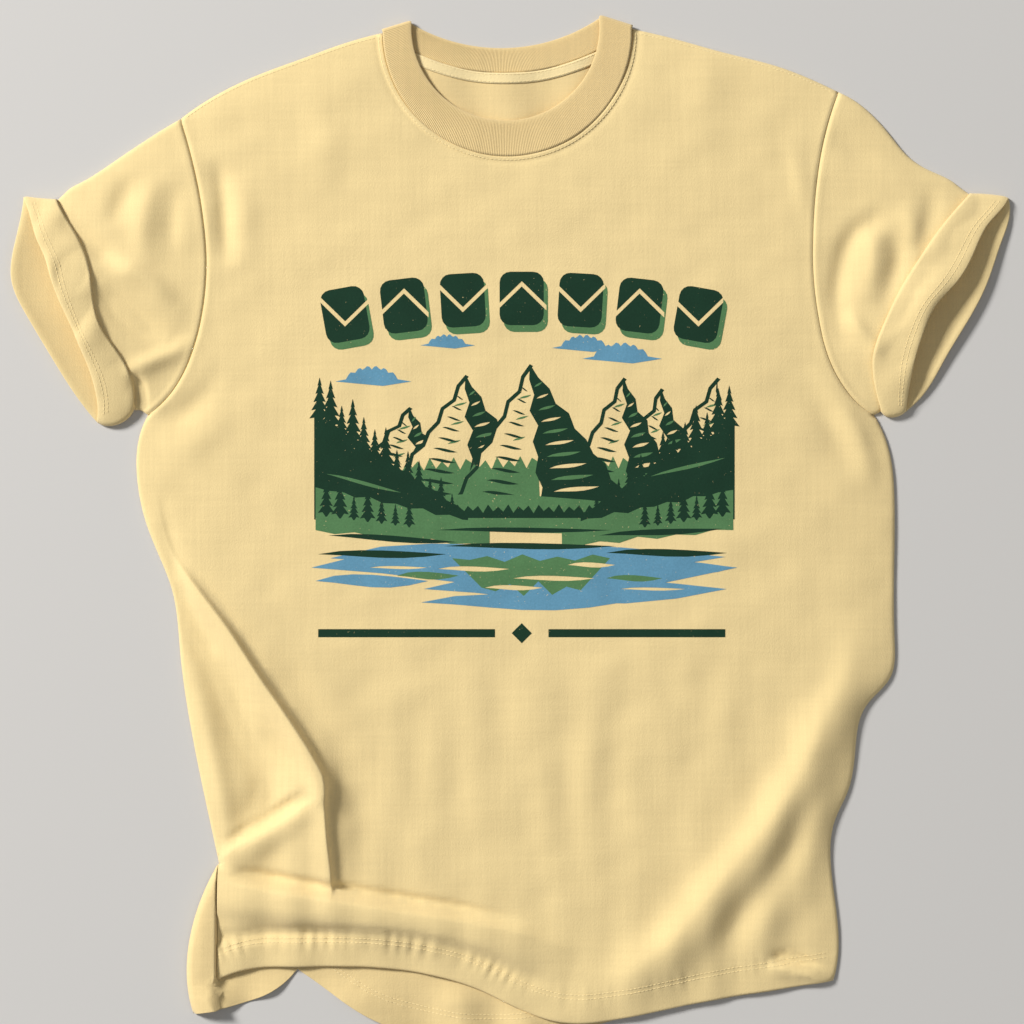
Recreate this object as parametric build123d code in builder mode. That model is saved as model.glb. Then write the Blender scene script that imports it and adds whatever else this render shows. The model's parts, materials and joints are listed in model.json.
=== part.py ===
"""A short-sleeved crew-neck T-shirt, size L, lying face up with its sleeves turned up once.

Millimetres. +X is to the right of someone looking down at the chest, +Y points to the collar and +Z
up from the surface it lies on. The origin is under the middle of the shirt, on that surface.
Every cut piece of cloth, every tape, every run of sewing thread and every ink of the chest print is a
solid of its own. The front layer stands LOFT above the surface, so the inside is open as on the
real shirt: at the hem, the neck and both sleeves.
"""

import math
import os

from build123d import *

# Cloth
CLOTH = 0.8  # jersey of about 205 g per square metre
GAP = 0.4  # air between two layers of one piece where it is folded on itself
RIB = 1.8  # the collar's rib knit, folded double
LOFT = 10.0  # underside of the front layer above the surface
HEM = 25.0  # depth of the turned and stitched edge
TAPE = 0.5
TAPE_WIDTH = 8.0
THREAD = 0.3
THREAD_WIDTH = 0.8
NEEDLES = 3.2  # between the two rows of a twin-needle stitch
HEM_STITCH = 3.0  # the upper row, from the raw edge of the hem
OVERLOCK_WIDTH = 3.0
OVERLOCK_HEIGHT = 1.4
INK = 0.1
CLEAR = 0.3  # between a seam's thread and the next thing beside it
TOPSTITCH = 3.0  # from a seam to the stitching beside it
TAPE_CUT = 10.0  # how far a tape stops short of each end of its seam
TAPE_ROWS = (0.15, 0.85)  # shares of the tape's width
OVERLOCK_CUT = 16.0
FACET = 7.0  # length of the straight runs that stand for a smooth edge

FOLD = CLOTH + GAP  # from one layer of a fold to the next
FRONT_TOP = LOFT + CLOTH

# Neck and shoulders
LEFT_NECK = (-96, 373.5)
RIGHT_NECK = (90.5, 376.5)
FRONT_NECK_LOW = (-2, 280.5)
BACK_NECK_LOW = (-2, 343.5)
LEFT_PEAK = (-75, 380)
RIGHT_PEAK = (66.5, 384.1)
COLLAR_FRONT_LOW = (-3, 306.5)
COLLAR_BACK_LOW = (-7, 361.5)
NECK_END = (0.6, 0.8)  # square to the back neck seam where it meets the shoulder
SHOULDER_SLOPE = 1.25  # distance straight down for each millimetre square to a shoulder

# Seams, each from its upper end to its lower end
LEFT_SHOULDER = [LEFT_NECK, (-127, 365), (-156, 354.5), (-192, 341), (-219, 328), (-247.5, 309)]
RIGHT_SHOULDER = [RIGHT_NECK, (123, 369), (161, 358.5), (199.5, 348.5), (230, 336.5), (245.5, 329)]
LEFT_ARMHOLE = [
    (-247.5, 309), (-235, 264), (-229, 227), (-227.5, 191),
    (-232, 155.5), (-241, 126), (-256, 101), (-272, 87),
]
RIGHT_ARMHOLE = [
    (245.5, 329), (235.5, 300), (228.5, 261.5), (225.7, 219), (226.5, 185),
    (230, 159), (237, 130.5), (248, 109), (260, 95), (272, 87),
]

# Sides of the body
LEFT_TUCK = (-219, -248)
LEFT_SIDE = [
    (-272, 87), (-279.5, 66), (-280, 38), (-274, 8), (-264, -18), (-254, -44),
    (-248, -90), (-241, -141), (-230, -197), LEFT_TUCK,
]
FRONT_LEFT_CORNER = (-220, -336)
BACK_LEFT_CORNER = (-238, -361)
BACK_LEFT_ROLL = [LEFT_TUCK, (-231, -272), (-241, -306), (-243, -333), BACK_LEFT_CORNER]
RIGHT_CORNER = (241.5, -336.5)
RIGHT_SIDE = [
    (272, 87), (283, 62), (287.5, 20), (287.5, -80), (284, -110), (266, -131),
    (258, -165), (252, -196), (243, -216), (241, -262), (244.5, -290), RIGHT_CORNER,
]

# Bottom edges
FRONT_HEM = [
    FRONT_LEFT_CORNER, (-194, -327.5), (-160, -326), (-113, -326), (-66, -331), (-22, -344),
    (9, -359), (40, -368), (75, -366), (145, -352), (200, -343), RIGHT_CORNER,
]
BACK_NOTCH = (-160, -328)
BACK_HEM_LEFT = [BACK_LEFT_CORNER, (-203, -354), (-178, -344), BACK_NOTCH]
BACK_HEM = [
    BACK_NOTCH, (-130, -349), (-100, -367), (-60, -379), (-20, -384), (26, -380),
    (60, -370.5), (106, -360), (145, -352.5), (200, -343.5), RIGHT_CORNER,
]

# Left sleeve, with its edge turned up over the outside
LEFT_SLEEVE = {
    "armhole": LEFT_ARMHOLE,
    "top_fold": [
        (-247.5, 309), (-276, 291.5), (-299, 276), (-322, 261.5), (-334, 254),
        (-343, 244), (-355, 244.5), (-364.5, 250.5),
    ],
    "underarm": [(-309, 81), (-300, 85), (-288, 91), (-272, 87)],
    "upper_rim": [
        (-364.5, 250.5), (-359, 238), (-351.5, 216), (-344.5, 201), (-340.5, 187),
        (-328.5, 158), (-315, 126), (-308.5, 103), (-309, 81),
    ],
    "lower_rim": [
        (-364.5, 250.5), (-370, 217), (-372.8, 187), (-362, 162), (-343, 130),
        (-324, 100), (-309, 81),
    ],
    "upper_edge": [
        (-340, 248), (-333, 235), (-320, 213), (-313.5, 194), (-311.5, 176),
        (-307, 156), (-296, 138), (-285.5, 121), (-282, 107), (-282, 93),
    ],
    "lower_edge": [
        (-340, 248), (-344.5, 215), (-342, 190), (-330, 165), (-312, 138),
        (-292, 112), (-282, 93),
    ],
    "cuff_top": [(-340, 248), (-352, 249), (-364.5, 250.5)],
    "cuff_under": [(-282, 93), (-288, 84), (-298, 79.5), (-309, 81)],
}

# Right sleeve
RIGHT_SLEEVE = {
    "armhole": RIGHT_ARMHOLE,
    "top_fold": [
        (245.5, 329), (268.5, 314), (284, 297), (297.5, 281), (312.5, 271), (329.5, 263),
        (340, 254), (349, 246.5), (360, 247), (372, 250),
    ],
    "underarm": [(295, 89.5), (286, 94.5), (279, 94), (272, 87)],
    "upper_rim": [
        (372, 250), (365, 240), (354, 228), (343, 206.5), (329, 184), (315, 169),
        (305, 146.5), (298, 120), (295, 89.5),
    ],
    "lower_rim": [
        (372, 250), (373, 236), (366.5, 215.5), (356, 185.5), (343.5, 160.5),
        (325.5, 130.5), (310, 104), (295, 89.5),
    ],
    "upper_edge": [
        (343.5, 252.5), (324, 231.5), (301, 199.5), (286.5, 175), (275, 150),
        (269.5, 134), (270, 116), (273.5, 101), (277.5, 90),
    ],
    "lower_edge": [
        (343.5, 252.5), (340, 220), (330, 190), (314, 158), (298, 130), (286, 108), (277.5, 90),
    ],
    "cuff_top": [(343.5, 252.5), (358, 252), (372, 250)],
    "cuff_under": [(277.5, 90), (281, 86.5), (288, 86), (295, 89.5)],
}

# Chest print
PRINT_CENTRE = (8, 55)
HEADING_BLOCK = (33.0, 40.0)
HEADING_CORNER = 8.0
HEADING_PITCH = 44.0
HEADING_HEIGHT = 119.0
HEADING_DROP = 12.0  # of the end blocks below the middle one
HEADING_TURN = 3.4  # degrees from one block to the next
CHEVRON_RISE = 9.0
CHEVRON_WIDTH = 4.0
SHADOW = (3.0, -5.0)
PEAKS = [  # apex, how far its feet stand to either side, and the level they stand on
    ((146, 60), 60, 12, -30),
    ((-84, 38), 56, 40, -30),
    ((104, 52), 44, 40, -32),
    ((76, 60), 52, 44, -30),
    ((-42, 62), 62, 60, -32),
    ((6, 70), 58, 76, -34),
]
CLOUDS = [((-112, 57), 21), ((-56, 84), 15), ((46, 82), 18), ((74, 74), 22)]
LAKE_LEVEL = -86.0
CAPTION_LEVEL = -131.0
CAPTION_BARS = [(-152, -20), (20, 152)]  # from where to where each runs
CAPTION_HALF = 3.0
DIAMOND_HALF = 7.5

# Rows of stitches across a turned-up sleeve edge
CUFF_ROWS = (0.16, 0.27)  # shares of the way from the rim to the raw edge
CUFF_STEPS = 24  # straight runs in each row


def shifted(points, x, y):
    return [(px + x, py + y) for px, py in points]


def facets(edge, cut, count):
    """A smooth edge as points about FACET apart, with its ends cut back."""
    if cut:
        edge = edge.trim(cut / edge.length, 1 - cut / edge.length)
    count = count or max(5, round(edge.length / FACET))
    places = [edge @ (step / count) for step in range(count + 1)]
    return [(place.X, place.Y) for place in places]


def smooth(points, cut=0.0, count=None):
    """A seam or edge that runs smoothly through its points."""
    with BuildLine() as line:
        Spline(*points)
    return facets(line.edges()[0], cut, count)


def arc(points, cut=0.0):
    """A round seam or edge through three points."""
    with BuildLine() as line:
        ThreePointArc(*points)
    return facets(line.edges()[0], cut, None)


def region(*runs):
    """The flat piece inside edges that meet end to end."""
    with BuildSketch() as sketch:
        with BuildLine():
            for run in runs:
                Polyline(*run)
        make_face()
    return sketch.sketch


def strip(run, half_width):
    """The points round a ribbon that keeps the same width along a run."""
    upper = []
    lower = []
    for place, (x, y) in enumerate(run):
        x0, y0 = run[max(place - 1, 0)]
        x1, y1 = run[min(place + 1, len(run) - 1)]
        length = math.hypot(x1 - x0, y1 - y0)
        across = (half_width * (y0 - y1) / length, half_width * (x1 - x0) / length)
        upper.append((x + across[0], y + across[1]))
        lower.append((x - across[0], y - across[1]))
    return [*upper, *reversed(lower)]


def plate(shape, low, high):
    """Adds a layer of that shape between two heights to the part being built."""
    with BuildSketch(Plane.XY.offset(low)) as layer:
        add(shape)
    extrude(layer.sketch, amount=high - low)


def wall(shape, runs, low, high, thickness=CLOTH):
    """Adds cloth that stands along some of a shape's edges, inside the shape."""
    with BuildSketch(Plane.XY.offset(low)) as standing:
        for run in runs:
            Polygon(*strip(run, thickness), align=None)
        add(shape, mode=Mode.INTERSECT)
    extrude(standing.sketch, amount=high - low)


# ---------------------------------------------------------------- curves that pieces share
left_shoulder = smooth(LEFT_SHOULDER)
right_shoulder = smooth(RIGHT_SHOULDER)
left_armhole = smooth(LEFT_ARMHOLE)
right_armhole = smooth(RIGHT_ARMHOLE)
left_side = smooth(LEFT_SIDE)
right_side = smooth(RIGHT_SIDE)
left_roll = smooth(BACK_LEFT_ROLL)
left_front_edge = [LEFT_TUCK, FRONT_LEFT_CORNER]
front_hem = smooth(FRONT_HEM)
back_hem_left = smooth(BACK_HEM_LEFT)
back_hem = smooth(BACK_HEM)
front_neck = arc([LEFT_NECK, FRONT_NECK_LOW, RIGHT_NECK])
back_neck = arc([LEFT_NECK, BACK_NECK_LOW, RIGHT_NECK])
collar_front_fold = arc([LEFT_PEAK, COLLAR_FRONT_LOW, RIGHT_PEAK])
collar_back_fold = arc([LEFT_PEAK, COLLAR_BACK_LOW, RIGHT_PEAK])
left_collar_end = [LEFT_NECK, LEFT_PEAK]
right_collar_end = [RIGHT_NECK, RIGHT_PEAK]


# ---------------------------------------------------------------- body panels
def hem_allowance(points, depth=HEM):
    """The strip of a panel that is turned to the inside along its bottom edge."""
    top = shifted(points, 0, depth)
    return region(smooth(points), smooth(top), [points[0], top[0]], [points[-1], top[-1]])


def make_back_panel():
    outline = region(
        left_shoulder, back_neck, right_shoulder, right_armhole, right_side,
        back_hem, back_hem_left, left_roll, left_side, left_armhole,
    )
    with BuildSketch() as inside_seams:
        add(outline)
        for seam in (left_front_edge, right_side, left_roll):
            Polygon(*strip(seam, 3 * CLOTH), align=None, mode=Mode.SUBTRACT)
    with BuildPart() as panel:
        plate(outline, 0, CLOTH)
        with BuildSketch(Plane.XY.offset(FOLD)):
            add(hem_allowance(BACK_HEM_LEFT))
            add(hem_allowance(BACK_HEM))
            add(inside_seams.sketch, mode=Mode.INTERSECT)
        extrude(amount=CLOTH)
        wall(inside_seams.sketch, [[*back_hem_left, *back_hem[1:]]], CLOTH, FOLD + CLOTH)
    return panel


def make_front_panel():
    outline = region(
        left_shoulder, front_neck, right_shoulder, right_armhole, right_side,
        front_hem, left_front_edge, left_side, left_armhole,
    )
    seams = [left_shoulder, right_shoulder, [*left_side, FRONT_LEFT_CORNER], right_side]
    with BuildPart() as panel:
        plate(outline, LOFT, FRONT_TOP)
        wall(outline, seams, CLOTH, LOFT)
        with BuildSketch(Plane.XY.offset(LOFT - FOLD)):
            add(hem_allowance(FRONT_HEM))
            add(outline, mode=Mode.INTERSECT)
        extrude(amount=CLOTH)
        wall(outline, [front_hem], LOFT - FOLD, LOFT)
    return panel


# ---------------------------------------------------------------- sleeves
def make_sleeve(points):
    """A flattened tube of cloth from the armhole to its rim, then back over its own outside."""
    line = {name: smooth(run) for name, run in points.items()}
    upper = region(line["armhole"], line["top_fold"], line["upper_rim"], line["underarm"])
    lower = region(line["armhole"], line["top_fold"], line["lower_rim"], line["underarm"])
    cuff_upper = region(
        line["upper_rim"], line["cuff_top"], line["upper_edge"], line["cuff_under"]
    )
    cuff_lower = region(
        line["lower_rim"], line["cuff_top"], line["lower_edge"], line["cuff_under"]
    )
    with BuildSketch() as raised:
        add(lower)
        add(cuff_lower, mode=Mode.INTERSECT)
        Polygon(*strip(line["lower_edge"], 3 * CLOTH), align=None)
        add(lower, mode=Mode.INTERSECT)
    with BuildSketch() as riser:
        add(lower)
        add(cuff_lower, mode=Mode.SUBTRACT)
        Polygon(*strip(line["lower_edge"], 2 * CLOTH), align=None, mode=Mode.SUBTRACT)
    with BuildSketch() as riser_foot:
        add(riser.sketch)
        Polygon(*strip(line["lower_edge"], 3 * CLOTH), align=None, mode=Mode.INTERSECT)
    with BuildPart() as sleeve:
        plate(upper, LOFT, FRONT_TOP)
        plate(cuff_upper, LOFT + FOLD, FRONT_TOP + FOLD)
        wall(cuff_upper, [line["upper_rim"]], LOFT, FRONT_TOP + FOLD)
        plate(riser.sketch, 0, CLOTH)
        plate(riser_foot.sketch, 0, FOLD + CLOTH)
        plate(raised.sketch, FOLD, FOLD + CLOTH)
        plate(cuff_lower, 0, CLOTH)
        wall(cuff_lower, [line["lower_rim"]], 0, FOLD + CLOTH)
        wall(lower, [line["top_fold"], line["underarm"]], FOLD, FRONT_TOP)
        wall(cuff_upper, [line["cuff_top"], line["cuff_under"]], 0, FRONT_TOP + FOLD)
    return sleeve


# ---------------------------------------------------------------- collar
def make_collar():
    """The rib band, folded double, round the neck: deep in front and high behind."""
    front_band = region(front_neck, right_collar_end, collar_front_fold, left_collar_end)
    back_band = region(back_neck, right_collar_end, collar_back_fold, left_collar_end)
    front_low = LOFT + CLOTH / 2 - RIB / 2
    with BuildPart() as collar:
        plate(front_band, front_low, front_low + RIB)
        plate(back_band, 0, RIB)
        wall(front_band, [left_collar_end, right_collar_end], RIB, front_low, RIB)
    return collar


# ---------------------------------------------------------------- tapes and thread
def beside(points, x, y, cut=6.0):
    """A seam moved to one side and cut back at its ends."""
    return smooth(shifted(points, x, y), cut)


def outside_neck(distance, cut):
    """An arc in the front panel, that far outside the neck seam."""
    left = (LEFT_NECK[0] - distance, LEFT_NECK[1])
    low = (FRONT_NECK_LOW[0], FRONT_NECK_LOW[1] - distance)
    right = (RIGHT_NECK[0] + distance, RIGHT_NECK[1])
    return arc([left, low, right], cut)


def below_back_neck(distance, cut):
    """An arc in the back panel, that far below the neck seam."""
    across, down = distance * NECK_END[0], distance * NECK_END[1]
    left = (LEFT_NECK[0] - across, LEFT_NECK[1] - down)
    low = (BACK_NECK_LOW[0], BACK_NECK_LOW[1] - distance)
    right = (RIGHT_NECK[0] + across, RIGHT_NECK[1] - down)
    return arc([left, low, right], cut)


def across_cuff(sleeve, share):
    """A row along a turned-up band, at a share of the way from its rim to its upper edge."""
    rim = smooth(sleeve["upper_rim"], 4, CUFF_STEPS)
    edge = smooth(sleeve["upper_edge"], 4, CUFF_STEPS)
    return [
        (x0 * (1 - share) + x1 * share, y0 * (1 - share) + y1 * share)
        for (x0, y0), (x1, y1) in zip(rim, edge)
    ]


def hem_rows(points):
    """The two rows of a twin-needle hem above a bottom edge."""
    upper = HEM - HEM_STITCH
    return [beside(points, 0, upper), beside(points, 0, upper - NEEDLES)]


def make_ribbon(*layers):
    """Tape or sewing thread: each layer is its lines, its lower face, its width and its thickness."""
    with BuildPart() as ribbon:
        for lines, low, width, thickness in layers:
            for line in lines:
                with BuildSketch(Plane.XY.offset(low)):
                    Polygon(*strip(line, width / 2), align=None)
                extrude(amount=thickness)
    return ribbon


def make_topstitch(lines, low):
    return make_ribbon((lines, low, THREAD_WIDTH, THREAD))


def make_armhole_thread(points, side):
    """The overlock inside an armhole, below the front panel and on the back panel."""
    seam = [beside(points, side * (OVERLOCK_WIDTH / 2 + 2), 0, 10)]
    return make_ribbon(
        (seam, LOFT - OVERLOCK_HEIGHT, OVERLOCK_WIDTH, OVERLOCK_HEIGHT),
        (seam, CLOTH, OVERLOCK_WIDTH, OVERLOCK_HEIGHT),
    )


def make_side_thread(points, side):
    """The overlock inside a side seam, down to the hem."""
    above_hem = [point for point in points if point[1] > RIGHT_CORNER[1] + HEM]
    seam = [beside(above_hem, side * (OVERLOCK_WIDTH / 2 + 2.4), 0, 12)]
    return make_ribbon((seam, CLOTH, OVERLOCK_WIDTH, OVERLOCK_HEIGHT))


# ---------------------------------------------------------------- chest print
def zigzag(start, end, teeth, depth):
    """The points of a jagged line, with teeth of uneven height along a straight run."""
    (x0, y0), (x1, y1) = start, end
    length = math.hypot(x1 - x0, y1 - y0)
    points = [start]
    for tooth in range(1, teeth):
        share = tooth / teeth
        rise = depth * (-1) ** tooth * (0.7 + 0.3 * math.sin(5 * tooth))
        points.append((
            x0 + (x1 - x0) * share - (y1 - y0) / length * rise,
            y0 + (y1 - y0) * share + (x1 - x0) / length * rise,
        ))
    return [*points, end]


def lens(x, y, length, thickness, fall=0.0):
    """A long pointed streak, as a ripple, a ledge of rock or a strip of shore."""
    upper = []
    lower = []
    for step in range(1, 6):
        share = step / 6
        centre = (x - length / 2 + length * share, y - fall * share)
        upper.append((centre[0], centre[1] + thickness * 0.5 * math.sin(math.pi * share**0.7)))
        lower.append((centre[0], centre[1] - thickness * 0.5 * math.sin(math.pi * share**1.4)))
    return [(x - length / 2, y), *upper, (x + length / 2, y - fall), *reversed(lower)]


def pine(x, y, height):
    """A fir with five tiers of branches."""
    side = []
    for tier in range(1, 6):
        level = height * (1 - 0.18 * tier)
        reach = height * 0.045 * tier
        side += [(reach, level), (reach * 0.45, level + height * 0.02)]
    side.append((height * 0.02, 0))
    right = [(x + out, y + level) for out, level in side]
    left = [(x - out, y + level) for out, level in reversed(side)]
    return [(x, y + height), *right, *left]


def cloud(x, y, size):
    """A cloud with a puffed top and a nearly flat underside."""
    top = []
    for step in range(1, 24):
        share = step / 12 - 1
        puffs = 0.14 * abs(math.sin(3.3 * math.pi * share))
        top.append((x + size * share, y + size * (0.42 * (1 - share**2) + puffs)))
    return [(x - 1.3 * size, y), *top, (x + 1.4 * size, y), (x + 0.4 * size, y - 0.16 * size)]


def heading_block(place, shift):
    """A stout block with round corners, at its place on a shallow arc."""
    turn = math.radians(-place * HEADING_TURN)
    x = place * HEADING_PITCH + shift[0]
    y = HEADING_HEIGHT - HEADING_DROP * (place / 3) ** 2 + shift[1]
    width, height = HEADING_BLOCK
    points = []
    for quarter, (right, up) in enumerate(((1, 1), (-1, 1), (-1, -1), (1, -1))):
        for part in range(5):
            angle = math.radians(90 * quarter + 22.5 * part)
            across = right * (width / 2 - HEADING_CORNER) + HEADING_CORNER * math.cos(angle)
            along = up * (height / 2 - HEADING_CORNER) + HEADING_CORNER * math.sin(angle)
            points.append((
                x + across * math.cos(turn) - along * math.sin(turn),
                y + across * math.sin(turn) + along * math.cos(turn),
            ))
    return points


def heading_chevron(place):
    """The unprinted chevron across a block, pointing up and down by turns."""
    x = place * HEADING_PITCH
    y = HEADING_HEIGHT - HEADING_DROP * (place / 3) ** 2
    half = HEADING_BLOCK[0] / 2 + 2
    point = CHEVRON_RISE * (-1) ** place
    lower = [(x - half, y - point), (x, y + point), (x + half, y - point)]
    return [*lower, *reversed(shifted(lower, 0, CHEVRON_WIDTH))]


def peak_layers(apex, left, right, base):
    """One mountain: snow left bare, wooded foot, shaded side, ledges and outline."""
    x, y = apex
    height = y - base
    left_edge = zigzag((x - left, base), apex, 11, 2)
    right_edge = zigzag(apex, (x + right, base), 11, 2)
    crest = zigzag(apex, (x + 0.1 * right, base), 9, 3)
    snow_left = (x - 0.72 * left, base + 0.28 * height)
    snow_right = (x + 0.08 * right, base + 0.3 * height)
    ledges = []
    gullies = []
    for step in range(2, 12):
        drop = step / 12
        ledges.append(
            lens(x - 0.42 * left * drop, y - height * drop, 0.5 * left * drop, 1 + 2.2 * drop, 3)
        )
        gullies.append(
            lens(x + 0.5 * right * drop, y - height * drop, 0.5 * right * drop, 1.4 + 2.4 * drop, -4)
        )
    streaks = [
        lens(x - 0.25 * left * drop, y - height * drop, 0.16 * left, 1.6, -3)
        for drop in (0.25, 0.4, 0.55)
    ]
    return [
        ("bare", [[*left_edge, *right_edge[1:]]]),
        ("mid", [
            [*zigzag(snow_left, snow_right, 11, 5), (x + 0.1 * right, base), (x - left, base)],
            *streaks,
        ]),
        ("dark", [
            [*right_edge, *reversed(crest[1:])],
            [*left_edge, *reversed(shifted(left_edge, 2.4, -1.4))],
            *ledges,
        ]),
        ("mid", gullies[::2]),
        ("bare", gullies[1::2]),
    ]


def slope(outer, inner, floor):
    """A hillside that comes down from one end of the picture to a ragged shore."""
    shore = zigzag((inner[0], floor), (outer[0], floor + 12), 9, 1.8)
    return [*zigzag(outer, inner, 13, 1.5), *shore]


def forest(start, end, count, height, shrink):
    """A row of firs that get smaller along a hillside."""
    (x0, y0), (x1, y1) = start, end
    trees = []
    for tree in range(count):
        share = tree / (count - 1)
        uneven = 1 + 0.22 * math.sin(2.4 * tree)
        tall = height * (1 - shrink * share) * uneven
        trees.append(pine(x0 + (x1 - x0) * share, y0 + (y1 - y0) * share, tall))
    return trees


def heading_layers():
    places = range(-3, 4)
    return [
        ("mid", [heading_block(place, SHADOW) for place in places]),
        ("dark", [heading_block(place, (0, 0)) for place in places]),
        ("bare", [heading_chevron(place) for place in places]),
    ]


def hillside_layers():
    """The wooded hills at both ends, the far shore and the trees along it."""
    far_woods = [*zigzag((-78, -38), (92, -38), 45, 3.4), (92, -45), (-78, -45)]
    return [
        ("mid", [lens(4, -42, 270, 30)]),
        ("dark", [slope((-155, 34), (-40, -42), -58), slope((159, 28), (44, -42), -58), far_woods]),
        ("dark", forest((-151, 26), (-52, -40), 13, 34, 0.55)),
        ("dark", forest((155, 20), (56, -40), 13, 34, 0.55)),
        ("mid", [
            slope((-154, -22), (-24, -50), -66), slope((158, -24), (30, -50), -66),
            lens(-118, -12, 56, 3, 14), lens(124, -14, 56, 3, -14),
        ]),
        ("dark", forest((-146, -44), (-84, -52), 7, 28, 0.4)),
        ("dark", forest((150, -44), (92, -52), 7, 28, 0.4)),
        ("dark", [lens(-96, -58, 96, 5, 5), lens(104, -58, 92, 5, -5), lens(2, -54, 130, 4)]),
    ]


def lake_layers():
    """Broken water, with the mountains and the snow upside down in it."""
    water = [
        lens(2, LAKE_LEVEL + 4, 318, 34), lens(-30, LAKE_LEVEL + 11, 226, 22),
        lens(36, LAKE_LEVEL + 12, 232, 20), lens(40, LAKE_LEVEL - 12, 226, 22),
        lens(0, LAKE_LEVEL - 22, 150, 12), lens(-112, LAKE_LEVEL - 6, 84, 10),
        lens(122, LAKE_LEVEL + 4, 74, 10),
    ]
    shore = [lens(-104, -72, 96, 6), lens(108, -71, 90, 6), lens(6, -66, 128, 5)]
    mirrored = [*zigzag((-52, -75), (66, -75), 9, 3), *reversed(zigzag((-30, -97), (44, -99), 7, 6))]
    glints = [
        lens(-36, -83, 54, 4), lens(24, -90, 62, 4), lens(52, -80, 36, 4), lens(-6, -97, 44, 4),
        lens(-92, -82, 44, 2.4), lens(98, -98, 50, 2.4), lens(-64, -101, 52, 2.4),
    ]
    return [
        ("blue", water),
        ("dark", shore),
        ("mid", [mirrored, lens(-70, -88, 46, 6), lens(84, -90, 42, 5)]),
        ("bare", glints),
    ]


def caption_layers():
    low, high = CAPTION_LEVEL - CAPTION_HALF, CAPTION_LEVEL + CAPTION_HALF
    bars = [[(x0, low), (x1, low), (x1, high), (x0, high)] for x0, x1 in CAPTION_BARS]
    diamond = [
        (-DIAMOND_HALF, CAPTION_LEVEL), (0, CAPTION_LEVEL - DIAMOND_HALF),
        (DIAMOND_HALF, CAPTION_LEVEL), (0, CAPTION_LEVEL + DIAMOND_HALF),
    ]
    return [("dark", [*bars, diamond])]


def print_layers():
    """The whole picture from back to front, each layer as its ink and its polygons."""
    layers = [*heading_layers(), ("blue", [cloud(x, y, size) for (x, y), size in CLOUDS])]
    for peak in PEAKS:
        layers += peak_layers(*peak)
    return [*layers, *hillside_layers(), *lake_layers(), *caption_layers()]


def make_ink(ink, layers):
    """One ink of the print, left out wherever a later layer covers it."""
    first = next(place for place, (colour, polygons) in enumerate(layers) if colour == ink)
    with BuildSketch() as picture:
        for colour, polygons in layers[first:]:
            mode = Mode.ADD if colour == ink else Mode.SUBTRACT
            for polygon in polygons:
                Polygon(*shifted(polygon, *PRINT_CENTRE), align=None, mode=mode)
    with BuildPart() as film:
        plate(picture.sketch, FRONT_TOP, FRONT_TOP + INK)
    return film


# ---------------------------------------------------------------- the shirt
picture_layers = print_layers()
shoulder_inset = (TAPE_WIDTH / 2 + CLOTH + CLEAR) * SHOULDER_SLOPE
tape_rows = [TAPE_WIDTH * share + CLEAR for share in TAPE_ROWS]


def make_shoulder_tape(points):
    line = beside(points, 0, -shoulder_inset, TAPE_CUT)
    return make_ribbon(([line], LOFT - TAPE, TAPE_WIDTH, TAPE))


def make_cuff_stitching(sleeve):
    return make_topstitch([across_cuff(sleeve, share) for share in CUFF_ROWS], FRONT_TOP + FOLD)


pieces = {
    "front_panel": make_front_panel(),
    "back_panel": make_back_panel(),
    "left_sleeve": make_sleeve(LEFT_SLEEVE),
    "right_sleeve": make_sleeve(RIGHT_SLEEVE),
    "collar_rib": make_collar(),
    "neck_tape": make_ribbon(
        ([below_back_neck(TAPE_WIDTH / 2 + CLEAR, TAPE_CUT)], CLOTH, TAPE_WIDTH, TAPE)
    ),
    "left_shoulder_tape": make_shoulder_tape(LEFT_SHOULDER),
    "right_shoulder_tape": make_shoulder_tape(RIGHT_SHOULDER),
    "collar_topstitch": make_topstitch([outside_neck(TOPSTITCH, TOPSTITCH)], FRONT_TOP),
    "neck_seam_thread": make_ribbon((
        [outside_neck(TOPSTITCH, OVERLOCK_CUT)],
        LOFT - OVERLOCK_HEIGHT, OVERLOCK_WIDTH, OVERLOCK_HEIGHT,
    )),
    "neck_tape_stitching": make_topstitch(
        [below_back_neck(row, TAPE_CUT + THREAD_WIDTH) for row in tape_rows], CLOTH + TAPE
    ),
    "left_armhole_seam_thread": make_armhole_thread(LEFT_ARMHOLE, 1),
    "right_armhole_seam_thread": make_armhole_thread(RIGHT_ARMHOLE, -1),
    "left_shoulder_stitching": make_topstitch([beside(LEFT_SHOULDER, 0, -TOPSTITCH)], FRONT_TOP),
    "right_shoulder_stitching": make_topstitch([beside(RIGHT_SHOULDER, 0, -TOPSTITCH)], FRONT_TOP),
    "left_side_seam_thread": make_side_thread(LEFT_SIDE, 1),
    "right_side_seam_thread": make_side_thread(RIGHT_SIDE, -1),
    "front_hem_stitching": make_topstitch(hem_rows(FRONT_HEM), FRONT_TOP),
    "back_hem_stitching": make_topstitch(hem_rows(BACK_HEM), FOLD + CLOTH),
    "left_sleeve_hem_stitching": make_cuff_stitching(LEFT_SLEEVE),
    "right_sleeve_hem_stitching": make_cuff_stitching(RIGHT_SLEEVE),
    "print_dark_green": make_ink("dark", picture_layers),
    "print_mid_green": make_ink("mid", picture_layers),
    "print_blue": make_ink("blue", picture_layers),
}

os.makedirs("parts", exist_ok=True)
for name, piece in pieces.items():
    piece.part.label = name
    export_step(piece.part, f"parts/{name}.step")
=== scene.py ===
"""A pale yellow crew-neck T-shirt laid face up: its cloth, seams, stitches and print.

Lengths are in millimetres until a mesh is made. Every outline comes from the solids: each panel's cloth is
cut to the outline of its solid, given the height it lies at, and every seam, stitch and ink follows it.
"""

import json
import math

import bpy
import numpy as np
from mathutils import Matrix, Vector, kdtree
from mathutils.bvhtree import BVHTree
from mathutils.geometry import delaunay_2d_cdt

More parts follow.
